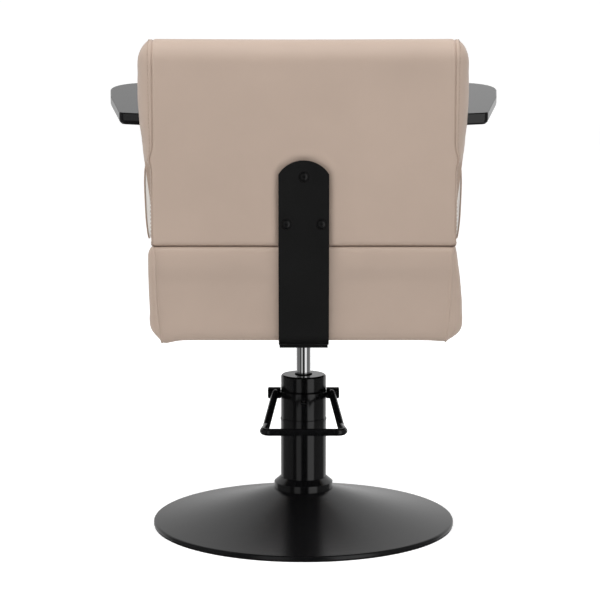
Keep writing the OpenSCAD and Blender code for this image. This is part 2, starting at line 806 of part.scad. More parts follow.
// The seat's rear face follows the strap and rolls forward at its top, and its front rolls over too
function seat_rear_y(z) = let (over = max(0, z - seat_top + seat_roll_r))
    max(strap_face_low - strap_lean * (z - seat_foot), -strap_reach) + seat_gap
        + seat_roll_r - sqrt(seat_roll_r * seat_roll_r - pow(min(over, seat_roll_r), 2));
function seat_front_y(z) =
    seat_front - 3 - 22 * pow(max(0, (z - seat_top + 46) / 46), 2);
function seat_ring(z, inset) = let (t = (z - seat_foot) / seat_h, s = 4 * t * (1 - t))
    lift_ring(soft_ring(-seat_side + inset - seat_swell * s, seat_side - inset + seat_swell * s,
        seat_rear_y(z) + (t < 0.5 ? inset : 0), seat_front_y(z) - inset,
        seat_corner_r - inset, 0, 1.2, 3 * s), z);
// The crown fills the free sitting area; its rings shrink towards the middle as they rise
crown_rear = back_face + 4;
crown_front = seat_front_y(seat_top) - 26;
crown_mid = (crown_rear + crown_front) / 2;
crown_corner_r = 30;
function crown_ring(share) = let (hx = (panel_in - 6) * share, hy = (crown_front - crown_rear) / 2 * share)
    lift_ring(soft_ring(-hx, hx, crown_mid - hy, crown_mid + hy, crown_corner_r * share, 0, 0, 0),
        seat_top + seat_crown * (1 - share * share));

module seat_form() {
    levels = edge_levels(seat_foot, seat_top, seat_foot_r, seat_edge_r, 4);
    stacked_form(concat([for (v = levels) seat_ring(v[0], v[1])],
        [for (share = [0.98, 0.86, 0.7, 0.48, 0.24]) crown_ring(share)]),
        [0, 0, seat_foot], [0, crown_mid, seat_top + seat_crown]);
}

module seat_cover() {
    color([0.73, 0.66, 0.6]) difference() {
        seat_form();
        seat_board_form(lay);
        rounded_plate([-board_side + board_planed - lay, board_rear + board_planed - lay, seat_foot - 5],
            [board_side - board_planed + lay, board_front - board_planed + lay, board_foot], board_corner_r);
        rounded_plate([-foam_side - lay, foam_rear - lay, board_top],
            [foam_side + lay, foam_front + lay, foam_top + lay], seat_foam_r + lay);
        for (side = [-1, 1], y = leg_y) at_side(side) {
            translate([frame_x, y, board_top]) cylinder(r = tube_r + lay, h = seat_h, $fn = 48);
            translate([foot_in - lay, y - foot_half - lay, board_top]) cube([foot_out - foot_in + 2 * lay,
                2 * (foot_half + lay), foot_t + m8_nut_h + 1 + lay]);
        }
    }
}

module dust_cover() {
    color("black") difference() {
        rounded_plate([-board_side + board_planed + 2, board_rear + board_planed + 2, seat_foot],
            [board_side - board_planed - 2, board_front - board_planed - 2, board_foot],
            board_corner_r - 2);
        at_corners(tray_bolt_x, tray_bolt_y) translate([0, 0, seat_foot - 1])
            cylinder(r = m8_r + 0.2, h = 4, $fn = 32);
        at_foot_bolts(seat_foot - 1) cylinder(r = m8_nut_r + 0.8, h = 4, $fn = 32);
    }
}

// Back

back_board_r = 14;
back_board_low = back_foot + 8;
back_board_high = back_top - 14;
back_foam_front = back_face - back_taper - 12;
back_foam_side = back_side - 26;

panel_side_in = 5;
panel_top_in = 22;
panel_corner_r = 16;

// Runs a child drawn flat in x and y, with z as depth, into the back's upright plane
module upright(y) {
    translate([0, y, 0]) rotate([90, 0, 0]) children();
}

module back_board() {
    color("burlywood") difference() {
        upright(back_board_front) rounded_plate([-back_side + 8, back_board_low, 0],
            [back_side - 8, back_board_high, back_board_t], back_board_r);
        for (spot = strap_screw_spots) translate([spot[0], 0, spot[1]])
            rotate([-90, 0, 0]) tee_nut_hole(board_plane, back_board_front);
    }
}

module back_tee_nuts() {
    color("silver") for (spot = strap_screw_spots) translate([spot[0], 0, spot[1]])
        rotate([-90, 0, 0]) tee_nut(board_plane, back_board_front);
}

module back_foam_block(grow) {
    upright(back_foam_front + grow) rounded_plate(
        [-back_foam_side - grow, back_board_low + 8 - grow, 0],
        [back_foam_side + grow, back_board_high - 10 + grow,
         back_foam_front - back_board_front + grow], back_foam_r + grow);
}

module back_foam() {
    color("lightyellow") back_foam_block(0);
}

// Share of the gusset's full swell at height z: slim beside the side panels, full above them
back_corner_r = 8;
back_front_in = 8;
back_low_r = 14;
back_top_r = 18;
back_foam_r = 24;
function gusset_share(z) = let (t = (z - back_foot - gusset_waist + 22) / 44)
    0.1 + 0.9 * (t <= 0 ? 0 : t >= 1 ? 1 : t * t * (3 - 2 * t));
function gusset_fade(z) = let (t = (z - back_foot - gusset_waist) / (back_h - gusset_waist))
    t <= 0 ? 0.72 : 0.72 + 0.28 * sin(180 * min(1, t) * 0.62);
function back_ring(z, inset) =
    let (g = gusset_out * gusset_share(z) * gusset_fade(z), t = (z - back_foot) / back_h)
    lift_ring(soft_ring(-back_side + inset, back_side - inset,
        board_plane, back_face - back_taper * t - back_front_in - inset, back_corner_r, g, 0,
        back_front_in * sin(180 * t) + 0.5), z);

module back_form() {
    levels = edge_levels(back_foot, back_top, back_low_r, back_top_r, 8);
    stacked_form([for (v = levels) back_ring(v[0], v[1])],
        [0, board_plane + 40, back_foot], [0, board_plane + 40, back_top]);
}

module back_cover() {
    color([0.73, 0.66, 0.6]) difference() {
        back_form();
        upright(back_board_front + lay) rounded_plate(
            [-back_side + 8 - lay, back_board_low - lay, 0],
            [back_side - 8 + lay, back_board_high + lay, back_board_t + 10], back_board_r + lay);
        back_foam_block(lay);
    }
}

// Padded rear panel, sewn to the gussets at its sides and rolled over the back's upper edge.
// It is drawn flat and then stood up, and its edges draw in by quarter ellipses
module back_rear_panel() {
    d = rear_panel_t;
    rings = [for (a = [0:15:90]) let (in = 1 - cos(a)) lift_ring(soft_ring(
        -back_side + panel_side_in * in, back_side - panel_side_in * in,
        back_foot + back_low_r * in, back_top - 2 - panel_top_in * in,
        panel_corner_r, 0.5, 0, 0, 3), d * sin(a))];
    middle = [0, (back_foot + back_top) / 2];
    color([0.71, 0.64, 0.58]) difference() {
        upright(board_plane - lay) stacked_form(rings,
            [middle[0], middle[1], 0], [middle[0], middle[1], d - lay]);
        for (spot = strap_screw_spots) translate([spot[0], board_plane + 1, spot[1]])
            rotate([90, 0, 0]) cylinder(r = m8_r + 0.3, h = rear_panel_t + 2, $fn = 32);
    }
}

// Arms

// Puts a child in the arm's own plane: z = 0 is the arm's underside, and it rises to the front
module on_arm_plane() {
    translate([0, -arm_rear, arm_foot_z]) rotate([arm_slope, 0, 0])
        translate([0, arm_rear, 0]) children();
}

function arm_under(y) = arm_foot_z + tan(arm_slope) * (y + arm_rear);

module arm_frame(side) {
    color([0.1, 0.1, 0.1]) at_side(side) difference() {
        union() {
            for (y = leg_y) {
                translate([frame_x, y, board_top])
                    cylinder(r = tube_r, h = arm_under(y) - board_top - bar_t / 2, $fn = 48);
                translate([foot_in, y - foot_half, board_top])
                    cube([foot_out - foot_in, 2 * foot_half, foot_t]);
            }
            on_arm_plane() translate([frame_x - bar_w / 2, arm_mid_y - bar_len / 2, -bar_t])
                cube([bar_w, bar_len, bar_t]);
        }
        for (y = leg_y) translate([foot_bolt_x, y, board_top - 1])
            cylinder(r = m8_r + snug, h = foot_t + 2, $fn = 32);
        on_arm_plane() for (y = arm_screw_y) translate([frame_x, y, -bar_t - 1])
            cylinder(r = arm_screw_r + 0.7, h = bar_t + 2, $fn = 32);
    }
}

module frame_bolts() {
    stem = board_t - frame_bolt_sink + foot_t + m8_nut_h + 1;
    color("silver") at_foot_bolts(board_foot) union() {
        translate([0, 0, 1]) cylinder(r = m8_nut_r, h = frame_bolt_sink, $fn = 6);
        translate([0, 0, frame_bolt_sink]) cylinder(r = m8_r, h = stem, $fn = 32);
        translate([0, 0, board_t + foot_t]) cylinder(r = m8_nut_r, h = m8_nut_h, $fn = 6);
    }
}

module side_panel(side) {
    levels = edge_levels(panel_foot, panel_foot + panel_h, panel_low_r, panel_top_r, 3);
    rings = [for (v = levels) let (t = (v[0] - panel_foot) / panel_h)
        lift_ring(soft_ring(panel_in + v[1] * 0.8, panel_in + panel_t - v[1] * 0.8 - 2,
            panel_rear + v[1] * 0.7, panel_rear + panel_len - v[1] - 8 * t, panel_low_r - v[1] / 2,
            2 + 2 * sin(180 * t), 0, 3, 3), v[0])];
    mid = [panel_in + panel_t / 2 - 1, panel_rear + panel_len / 2];
    color([0.75, 0.68, 0.62]) at_side(side) difference() {
        stacked_form(rings, [mid[0], mid[1], panel_foot], [mid[0], mid[1], panel_foot + panel_h]);
        for (y = leg_y) translate([frame_x, y, panel_foot - 1])
            cylinder(r = tube_r + lay, h = panel_h + 2, $fn = 48);
    }
}

// Plan of the arm, drawn in by inset: narrow at the rear, widest near its rounded front
module arm_plan(inset) {
    spots = [
        [arm_in + 12, -arm_rear + 6, 12], [arm_in + 38, -arm_rear + 23, 30],
        [arm_out - 42, -arm_rear + 13, 11], [arm_out - 35, -arm_rear + 152, 30],
        [arm_out - 60, arm_front - 75, 60], [arm_in + 34, arm_front - 36, 34]];
    hull() for (s = spots) translate([s[0], s[1]]) circle(r = s[2] - inset, $fn = 64);
}

module arm(side) {
    leaf = 0.1;
    color([0.06, 0.06, 0.06]) at_side(side) difference() {
        on_arm_plane() hull() {
            for (a = [0:30:60]) translate([0, 0, arm_roll * (1 - cos(a))])
                linear_extrude(leaf) arm_plan(arm_roll * (1 - sin(a)));
            translate([0, 0, arm_roll]) linear_extrude(arm_t - arm_roll - arm_bevel) arm_plan(0);
            translate([0, 0, arm_t - leaf]) linear_extrude(leaf) arm_plan(arm_bevel);
        }
        on_arm_plane() for (y = arm_screw_y) translate([frame_x, y, -1])
            cylinder(r = arm_screw_r + snug, h = arm_screw_len + 2, $fn = 32);
    }
}

module arm_screws() {
    color("silver") for (side = [-1, 1]) at_side(side) on_arm_plane() for (y = arm_screw_y)
        translate([frame_x, y, 0]) union() {
            translate([0, 0, -bar_t - 3]) cylinder(r = 2 * arm_screw_r, h = 3, $fn = 32);
            translate([0, 0, -bar_t]) cylinder(r = arm_screw_r, h = bar_t + arm_screw_len, $fn = 32);
        }
}

module arm_frame_left() { arm_frame(-1); }
module arm_frame_right() { arm_frame(1); }
module side_panel_left() { side_panel(-1); }
module side_panel_right() { side_panel(1); }
module arm_left() { arm(-1); }
module arm_right() { arm(1); }

base_gasket();
base_plate();
base_cover();
base_collar();
base_bolts();
column_flange();
pump_column();
pump_cylinder();
pump_head();
guide_bush();
wiper_seal();
pump_plunger();
plunger_spring();
lever_pins();
lever_yoke();
foot_lever();
piston_head();
thrust_washer();
piston_rod();
seat_tray();
tray_bolts();
back_strap();
strap_screws();
seat_board();
seat_tee_nuts();
seat_foam();
seat_cover();
dust_cover();
back_board();
back_tee_nuts();
back_foam();
back_cover();
back_rear_panel();
arm_frame_left();
arm_frame_right();
frame_bolts();
side_panel_left();
side_panel_right();
arm_left();
arm_right();
arm_screws();
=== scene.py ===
import json
import math

import bpy
import numpy as np
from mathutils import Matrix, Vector


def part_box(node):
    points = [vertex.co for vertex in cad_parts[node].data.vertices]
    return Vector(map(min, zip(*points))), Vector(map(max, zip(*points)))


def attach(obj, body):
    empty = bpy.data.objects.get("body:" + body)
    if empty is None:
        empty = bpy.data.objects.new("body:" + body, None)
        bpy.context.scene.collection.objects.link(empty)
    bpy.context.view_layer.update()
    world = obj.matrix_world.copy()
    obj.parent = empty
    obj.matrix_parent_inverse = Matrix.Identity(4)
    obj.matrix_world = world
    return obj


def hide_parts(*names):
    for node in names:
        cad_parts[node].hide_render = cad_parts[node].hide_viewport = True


# All lengths are in metres

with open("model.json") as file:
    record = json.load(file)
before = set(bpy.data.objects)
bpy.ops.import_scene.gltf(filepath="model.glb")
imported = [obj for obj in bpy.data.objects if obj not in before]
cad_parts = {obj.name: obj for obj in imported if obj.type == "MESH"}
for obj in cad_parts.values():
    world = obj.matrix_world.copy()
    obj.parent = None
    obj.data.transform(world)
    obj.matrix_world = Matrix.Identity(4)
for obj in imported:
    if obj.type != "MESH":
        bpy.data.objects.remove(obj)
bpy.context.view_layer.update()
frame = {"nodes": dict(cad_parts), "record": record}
scene = bpy.context.scene


# Camera, fitted to the photograph

CAMERA_DISTANCE = 3.79
CAMERA_HEIGHT = 0.987
CAMERA_PITCH = math.radians(8.711)
CAMERA_LENS = 129.15
CAMERA_SENSOR = 36
CAMERA_ASIDE = -0.0063


def make_camera():
    """Stands behind the chair, as the photographer did."""
    data = bpy.data.cameras.new("camera")
    data.sensor_width = CAMERA_SENSOR
    data.lens = CAMERA_LENS
    data.clip_start = 0.1
    data.clip_end = 60
    camera = bpy.data.objects.new("camera", data)
    scene.collection.objects.link(camera)
    camera.location = (CAMERA_ASIDE, -CAMERA_DISTANCE, CAMERA_HEIGHT)
    camera.rotation_euler = (math.pi / 2 - CAMERA_PITCH, 0, 0)
    scene.camera = camera


# Node helpers

class Nodes:
    """A material's node tree, with short calls for what the materials share."""

    def __init__(self, name):
        self.material = bpy.data.materials.new(name)
        self.material.use_nodes = True
        self.tree = self.material.node_tree
        self.shader = self.tree.nodes["Principled BSDF"]
        self.place = self.add("ShaderNodeTexCoord").outputs["Object"]

    def add(self, kind, **inputs):
        node = self.tree.nodes.new(kind)
        for key, value in inputs.items():
            self.put(node.inputs[key.replace("_", " ")], value)
        return node

    def put(self, socket, value):
        if hasattr(value, "is_output"):
            self.tree.links.new(value, socket)
        else:
            socket.default_value = value

    def set(self, **inputs):
        for key, value in inputs.items():
            self.put(self.shader.inputs[key.replace("_", " ")], value)

    def noise(self, scale, detail=3, roughness=0.5, place=None):
        node = self.add("ShaderNodeTexNoise", Scale=scale, Detail=detail, Roughness=roughness)
        self.put(node.inputs["Vector"], place or self.place)
        return node.outputs["Fac"]

    def stretched(self, scale):
        """Object coordinates, scaled by axis."""
        node = self.add("ShaderNodeMapping", Scale=scale)
        self.put(node.inputs["Vector"], self.place)
        return node.outputs["Vector"]

    def cells(self, scale):
        node = self.add("ShaderNodeTexVoronoi", Scale=scale)
        self.put(node.inputs["Vector"], self.place)
        return node.outputs["Distance"]

    def ramp(self, value, low, high, start=0.0, end=1.0):
        """Runs from low to high as value goes from start to end."""
        node = self.add("ShaderNodeMapRange", From_Min=start, From_Max=end, To_Min=low, To_Max=high)
        self.put(node.inputs["Value"], value)
        return node.outputs["Result"]

    def cloudy(self, scale, detail, low, high, edges=(0.3, 0.7)):
        """Noise that drifts between two numbers."""
        return self.ramp(self.noise(scale, detail), low, high, *edges)

    def math(self, operation, a, b=0.0):
        node = self.add("ShaderNodeMath")
        node.operation = operation
        self.put(node.inputs[0], a)
        self.put(node.inputs[1], b)
        return node.outputs[0]

    def mix(self, factor, low, high):
        """Blends two colours."""
        node = self.add("ShaderNodeMix")
        node.data_type = "RGBA"
        self.put(node.inputs["Factor"], factor)
        self.put(node.inputs[6], low)
        self.put(node.inputs[7], high)
        return node.outputs[2]

    def bump(self, height, strength, distance, below=None):
        node = self.add("ShaderNodeBump", Strength=strength, Distance=distance, Height=height)
        if below is not None:
            self.put(node.inputs["Normal"], below)
        return node.outputs["Normal"]


def shade(colour, factor):
    """A colour made darker or lighter, with its alpha."""
    return tuple(min(1, c * factor) for c in colour) + (1.0,)


# Materials: noise and cell scales count the cells in a metre, and bumps are in metres

def leather(name, colour, roughness=0.38):
    """Soft leather with a pore grain, faint creases and a cloudy tone."""
    n = Nodes(name)
    pore = n.cells(950)
    body = n.mix(n.cloudy(7, 4, 0, 1), shade(colour, 0.965), shade(colour, 1.03))
    pits = n.math("MULTIPLY", n.ramp(pore, 1, 0, 0.0, 0.35), 0.14)
    creases = n.bump(n.noise(60, 6, 0.6), 0.12, 0.0008)
    n.set(Base_Color=n.mix(pits, body, shade(colour, 0.72)),
          Roughness=n.cloudy(140, 4, roughness - 0.05, roughness + 0.09),
          Specular_IOR_Level=0.3, Sheen_Weight=0.06, Sheen_Roughness=0.5,
          Normal=n.bump(n.ramp(pore, 0, 1, 0.0, 0.5), 0.16, 0.00018, creases))
    return n.material


def gloss_paint(name, colour, roughness, coat):
    """Powder coat with a faint orange peel under a clear gloss."""
    n = Nodes(name)
    tone = n.cloudy(5, 3, 0, 1, (0.35, 0.65))
    n.set(Base_Color=n.mix(tone, shade(colour, 0.85), shade(colour, 1.2)),
          Roughness=n.cloudy(1900, 2, roughness - 0.03, roughness + 0.05),
          Coat_Weight=coat, Coat_Roughness=0.05, Normal=n.bump(n.noise(260, 2), 0.05, 0.0004))
    return n.material


def satin_paint(name, colour, roughness=0.52):
    """Fine textured powder coat on steel."""
    n = Nodes(name)
    n.set(Base_Color=n.mix(n.cloudy(9, 4, 0, 1), shade(colour, 0.86), shade(colour, 1.14)),
          Roughness=n.cloudy(420, 3, roughness - 0.06, roughness + 0.08),
          Specular_IOR_Level=0.25, Normal=n.bump(n.cells(1500), 0.14, 0.00025))
    return n.material


def bare_metal(name, colour, roughness, stretch=(1, 1, 1), grain=300, depth=0.03):
    """Metal with fine tool marks drawn out along the short side of stretch."""
    n = Nodes(name)
    lines = n.noise(grain, 3, 0.6, n.stretched(stretch))
    n.set(Base_Color=n.mix(n.cloudy(14, 3, 0, 1), shade(colour, 0.93), shade(colour, 1.05)),
          Roughness=n.ramp(lines, roughness * 0.75, roughness * 1.35, 0.3, 0.7),
          Metallic=1.0, Normal=n.bump(lines, depth, 0.0002))
    return n.material


def rubber(name, colour):
    """Dull rubber, also used for the foam."""
    n = Nodes(name)
    n.set(Base_Color=n.mix(n.cloudy(40, 4, 0, 1), shade(colour, 0.8), shade(colour, 1.3)),
          Roughness=n.cloudy(500, 3, 0.6, 0.8),
          Specular_IOR_Level=0.2, Normal=n.bump(n.noise(1300, 2), 0.15, 0.0002))
    return n.material


def plywood(name, light, dark):
    """Face veneer with its grain along X."""
    n = Nodes(name)
    grain = n.noise(14, 6, 0.65, n.stretched((1, 9, 9)))
    n.set(Base_Color=n.mix(n.ramp(grain, 0, 1, 0.35, 0.7), shade(light, 1), shade(dark, 1)),
          Roughness=n.ramp(grain, 0.5, 0.7, 0.3, 0.7), Normal=n.bump(grain, 0.2, 0.0003))
    return n.material


def woven(name, colour, pitch=0.0011):
    """Plain weave from two crossed waves."""
    n = Nodes(name)
    parts = n.add("ShaderNodeSeparateXYZ")
    n.put(parts.inputs[0], n.place)
    turns = 2 * math.pi / pitch
    across = n.math("SINE", n.math("MULTIPLY", parts.outputs["X"], turns))
    along = n.math("SINE", n.math("MULTIPLY", parts.outputs["Y"], turns))
    weave = n.math("MULTIPLY", across, along)
    n.set(Base_Color=n.mix(n.ramp(weave, 0, 1, -1, 1), shade(colour, 0.8), shade(colour, 1.2)),
          Roughness=n.ramp(n.noise(90, 3), 0.8, 0.95), Normal=n.bump(weave, 0.3, 0.0003))
    return n.material


BEIGE = (0.498, 0.388, 0.318)
OFF_WHITE = (0.92, 0.91, 0.88)
THREAD = (0.43, 0.335, 0.27)
GLOSS_BLACK = (0.0045, 0.0045, 0.005)
SATIN_BLACK = (0.0065, 0.0065, 0.0065)
RUBBER_BLACK = (0.007, 0.007, 0.007)
CLOTH_BLACK = (0.02, 0.02, 0.02)
SCREW_BLACK = (0.05, 0.05, 0.05)
PLATE_BLACK = (0.03, 0.03, 0.03)
CHROME = (0.88, 0.88, 0.89)
STEEL = (0.6, 0.6, 0.6)
BRONZE = (0.62, 0.42, 0.2)
PLY_LIGHT = (0.62, 0.44, 0.27)
PLY_DARK = (0.42, 0.26, 0.14)
FOAM = (0.8, 0.74, 0.55)


def make_materials():
    """Every material by its name. The names are the CAD slots', apart from base_gloss,
    boxing_leather and seam_thread, which only the scene has."""
    # Paint has its roughness and coat, and metal its roughness, stretch, grain and depth
    recipes = {
        "gloss_black_paint": (gloss_paint, GLOSS_BLACK, 0.13, 0.1),
        "base_gloss": (gloss_paint, GLOSS_BLACK, 0.22, 0.0),
        "satin_black_paint": (satin_paint, SATIN_BLACK),
        "black_screw": (bare_metal, SCREW_BLACK, 0.4),
        "floor_steel": (satin_paint, PLATE_BLACK),
        "chromed_steel": (bare_metal, CHROME, 0.05, (1, 1, 0.05), 900, 0.01),
        "plain_steel": (bare_metal, STEEL, 0.32, (1, 1, 6)),
        "bearing_bronze": (bare_metal, BRONZE, 0.3, (1, 1, 8)),
        "black_rubber": (rubber, RUBBER_BLACK),
        "plywood": (plywood, PLY_LIGHT, PLY_DARK),
        "foam": (rubber, FOAM),
        "beige_leather": (leather, BEIGE),
        "boxing_leather": (leather, OFF_WHITE, 0.5),
        "seam_thread": (woven, THREAD, 0.0006),
        "black_cloth": (woven, CLOTH_BLACK),
        "gloss_black_arm": (gloss_paint, GLOSS_BLACK, 0.12, 0.2),
    }
    return {name: make(name, *values) for name, (make, *values) in recipes.items()}


def dress_frame(materials):
    """Gives every carried-over CAD node the detailed material of its slot."""
    slots = {s["node"]: s["material_slot"] for s in frame["record"]["subparts"]}
    for name, piece in frame["nodes"].items():
        slot = "base_gloss" if name == "base_cover" else slots[name]
        piece.data.materials.clear()
        piece.data.materials.append(materials[slot])


# Mesh helpers

def new_piece(name, verts, faces, material):
    """A smooth-shaded object made from plain lists of verts and faces."""
    mesh = bpy.data.meshes.new(name)
    mesh.from_pydata([tuple(v) for v in verts], [], [tuple(f) for f in faces])
    mesh.validate()
    piece = bpy.data.objects.new(name, mesh)
    scene.collection.objects.link(piece)
    mesh.materials.append(material)
    for face in mesh.polygons:
        face.use_smooth = True
    return piece


def ride_seat(piece):
    """Marks a leather piece that turns and rises with the seat."""
    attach(piece, "seat")


def rounded_corner(before, corner, after, radius, step):
    """Points of the arc that rounds a corner, about step apart."""
    back = (before - corner) / np.linalg.norm(before - corner)
    ahead = (after - corner) / np.linalg.norm(after - corner)
    angle = math.acos(float(np.clip(back @ ahead, -1, 1)))
    reach = radius / math.tan(angle / 2)
    halfway = (back + ahead) / np.linalg.norm(back + ahead)
    middle = corner + halfway * radius / math.sin(angle / 2)
    start, end = (math.atan2(*(corner + way * reach - middle)[::-1]) for way in (back, ahead))
    swing = (end - start + math.pi) % (2 * math.pi) - math.pi
    count = max(2, round((math.pi - angle) * radius / step))
    angles = [start + swing * k / count for k in range(count + 1)]
    return [middle + radius * np.array([math.cos(a), math.sin(a)]) for a in angles]


def rounded_outline(corners, radii, step):
    """Closed outline through corners, each rounded by its radius, with points about step apart."""
    corners = [np.array(c, float) for c in corners]
    followers = corners[1:] + corners[:1]
    arcs = [rounded_corner(corners[i - 1], corners[i], followers[i], radii[i], step)
            for i in range(len(corners))]
    points = []
    for arc, follower in zip(arcs, arcs[1:] + arcs[:1]):
        run = follower[0] - arc[-1]
        count = max(1, round(np.linalg.norm(run) / step))
        points += arc + [arc[-1] + run * k / count for k in range(1, count)]
    return np.array(points)


def even_loop(points, step):
    """Closed smooth curve through points, cut into even steps."""
    p = np.array(points, float)
    fine = []
    for i in range(len(p)):
        a, b, c, d = p[i - 1], p[i], p[(i + 1) % len(p)], p[(i + 2) % len(p)]
        for t in np.arange(0, 1, 0.1):  # a Catmull-Rom spline, ten points to a span
            fine.append(0.5 * (2 * b + (c - a) * t + (2 * a - 5 * b + 4 * c - d) * t ** 2
                               + (3 * b - a - 3 * c + d) * t ** 3))
    fine = np.array(fine + fine[:1])
    way = np.concatenate([[0], np.cumsum(np.linalg.norm(np.diff(fine, axis=0), axis=1))])
    marks = np.linspace(0, way[-1], round(way[-1] / step), endpoint=False)
    return np.column_stack([np.interp(marks, way, fine[:, i]) for i in (0, 1)])


def arc_points(centre, radius, start, end, count):
    """Points of an arc in y and z; angles in degrees from +y towards +z."""
    angles = np.radians(np.linspace(start, end, count))
    return [(centre[0] + radius * math.cos(a), centre[1] + radius * math.sin(a)) for a in angles]


def ladder(first, count):
    """Faces that fill a ring of count points with parallel rungs."""
    faces = []
    for k in range((count - 1) // 2):
        face = [first + k, first + k + 1, first + count - 2 - k, first + count - 1 - k]
        faces.append(tuple(dict.fromkeys(face)))
    return faces


def skin_rings(rings):
    """Verts and faces of a tube through rings, with both ends filled."""
    m = len(rings[0])
    verts = np.concatenate(rings)
    faces = []
    for j in range(len(rings) - 1):
        for i in range(m):
            a, b = j * m + i, j * m + (i + 1) % m
            faces.append((a, b, b + m, a + m))
    faces += [face[::-1] for face in ladder(0, m)]
    faces += ladder((len(rings) - 1) * m, m)
    return verts, faces


# Distances from a seam to the panel's nearest columns, and the side dome's rings as shares of
# the way from the seam to its middle line
NEAR_SEAM = (0.0012, 0.004, 0.0075)
CAP_SHARES = (0.001, 0.008, 0.03, 0.07, 0.13, 0.21, 0.31, 0.43, 0.57, 0.74, 0.97)
PANEL_COLUMNS = 17
# Least distance from a marked column to an even one, and how fast a crown falls off sideways
MARK_GAP = 0.0025
CROWN_POWER = 0.7


def panel_columns(width, marks):
    """Places of a panel's columns from -1 to 1, closer at the seams and at the marks."""
    near = [1 - gap / width for gap in NEAR_SEAM]
    marked = [mark / width for mark in marks]
    even = [v for v in np.linspace(0, near[-1], PANEL_COLUMNS)[:-1]
            if all(abs(v - m) > MARK_GAP / width for m in marked)]
    half = sorted(even + marked + near + [1.0])
    return np.array([-v for v in half[:0:-1]] + half)


def side_sewn(outline, half_width, edges, depth, crown, axis, marks=()):
    """Rings of a cushion whose main panel follows outline in y and z between two seams at
    x = -half_width and +half_width, and whose two side panels swell beyond those seams.
    half_width is a function of z, and edges holds one for each side's outermost place. crown is
    a function of an outline point and its normal, and depth is how soon a side panel is full."""
    centre_low, centre_high = axis
    span = centre_high - centre_low
    t = np.clip(((outline - centre_low) @ span) / (span @ span), 0, 1)
    medial = centre_low + t[:, None] * span
    out = outline - np.roll(outline, 1, 0)
    out = out + np.roll(out, -1, 0)
    normal = np.stack([out[:, 1], -out[:, 0]], 1)
    normal /= np.linalg.norm(normal, axis=1)[:, None]
    if ((outline - medial) * normal).sum() < 0:
        normal = -normal
    width = np.array([half_width(p[1]) for p in outline])
    rise = np.array([crown(p, n) for p, n in zip(outline, normal)])
    reach = np.linalg.norm(outline - medial, axis=1)
    rings = []
    places = panel_columns(float(np.median(width)), marks)
    for side in (-1, 1):
        caps = []
        for share in CAP_SHARES:
            inset = np.minimum(share * reach / depth, 1)
            full = np.sqrt(np.maximum(0, 1 - (1 - inset) ** 2))
            p = medial + (outline - medial) * (1 - share)
            edge = np.array([edges[side](z) for z in p[:, 1]])
            caps.append(np.column_stack([side * (width + (edge - width) * full), p]))
        if side < 0:
            rings += caps[::-1]
            for s in places:
                p = outline + normal * (rise * (1 - s * s) ** CROWN_POWER)[:, None]
                rings.append(np.column_stack([width * s, p]))
        else:
            rings += caps
    seams = (len(CAP_SHARES), len(CAP_SHARES) + len(places) - 1)
    return rings, seams


# Cloth simulation, and how firmly the free, the resting and the rear skin is pinned
CLOTH_FRAMES = 18
CLOTH_QUALITY = 5
CLOTH_MASS = 0.3
CLOTH_STIFFNESS = 12
CLOTH_SHEAR = 6
CLOTH_BENDING = 0.6
PRESSURE = 4.0
FREE_PIN = 0.12
LAID_PIN = 0.9
REAR_PIN = 0.75


def inflate(piece, pins, reach, pressure=PRESSURE):
    """Puffs a closed mesh with cloth pressure. pins holds each vertex's weight, where 1 is fixed,
    and no vertex moves further than reach. It leaves a plain mesh."""
    rest = np.array([v.co[:] for v in piece.data.vertices])
    group = piece.vertex_groups.new(name="pins")
    for i, weight in enumerate(pins):
        group.add([i], float(weight), "REPLACE")
    cloth = piece.modifiers.new("cloth", "CLOTH")
    settings = cloth.settings
    settings.quality = CLOTH_QUALITY
    settings.mass = CLOTH_MASS
    settings.tension_stiffness = settings.compression_stiffness = CLOTH_STIFFNESS
    settings.shear_stiffness = CLOTH_SHEAR
    settings.bending_stiffness = CLOTH_BENDING
    settings.use_pressure = True
    settings.uniform_pressure_force = pressure
    settings.effector_weights.gravity = 0
    settings.vertex_group_mass = "pins"
    settings.pin_stiffness = 1.0
    cloth.collision_settings.use_collision = False
    cloth.point_cache.frame_start = 1
    cloth.point_cache.frame_end = CLOTH_FRAMES
    for number in range(1, CLOTH_FRAMES + 1):
        scene.frame_set(number)
    puffed = piece.evaluated_get(bpy.context.evaluated_depsgraph_get()).data
    step = np.array([v.co[:] for v in puffed.vertices]) - rest
    piece.modifiers.remove(cloth)
    piece.vertex_groups.remove(group)
    scene.frame_set(1)
    length = np.linalg.norm(step, axis=1)
    soft = reach * np.tanh(length / reach)
    step *= (soft / np.maximum(length, 1e-9))[:, None]
    piece.data.vertices.foreach_set("co", (rest + step).ravel())
    piece.data.update()


# How far the rings near a seam move along their normals, counted outward from the seam
SEWN_EDGE = {-3: 0.0001, -2: 0.0004, -1: -0.0008, 0: -0.0028, 1: -0.0008, 2: 0.0006, 3: 0.0003}
PIPED_EDGE = {-1: 0.0002, 0: -0.0008, 1: 0.0002}
SEAM_CREASE = 0.85


def press_seams(piece, ring_size, seams, profile):
    """Draws the seam rings into the cushion and lifts a soft ridge on both sides of each."""
    mesh = piece.data
    mesh.update()
    normals = np.array([v.normal[:] for v in mesh.vertices])
    co = np.array([v.co[:] for v in mesh.vertices])
    for seam, outward in zip(seams, (-1, 1)):
        for offset, amount in profile.items():
            first = (seam + outward * offset) * ring_size
            co[first:first + ring_size] += normals[first:first + ring_size] * amount
    mesh.vertices.foreach_set("co", co.ravel())
    mesh.update()


def reshape(piece, move):
    """Moves each vertex to the place that move gives for it."""
    mesh = piece.data
    co = np.array([move(*v.co) for v in mesh.vertices])
    mesh.vertices.foreach_set("co", co.ravel())
    mesh.update()


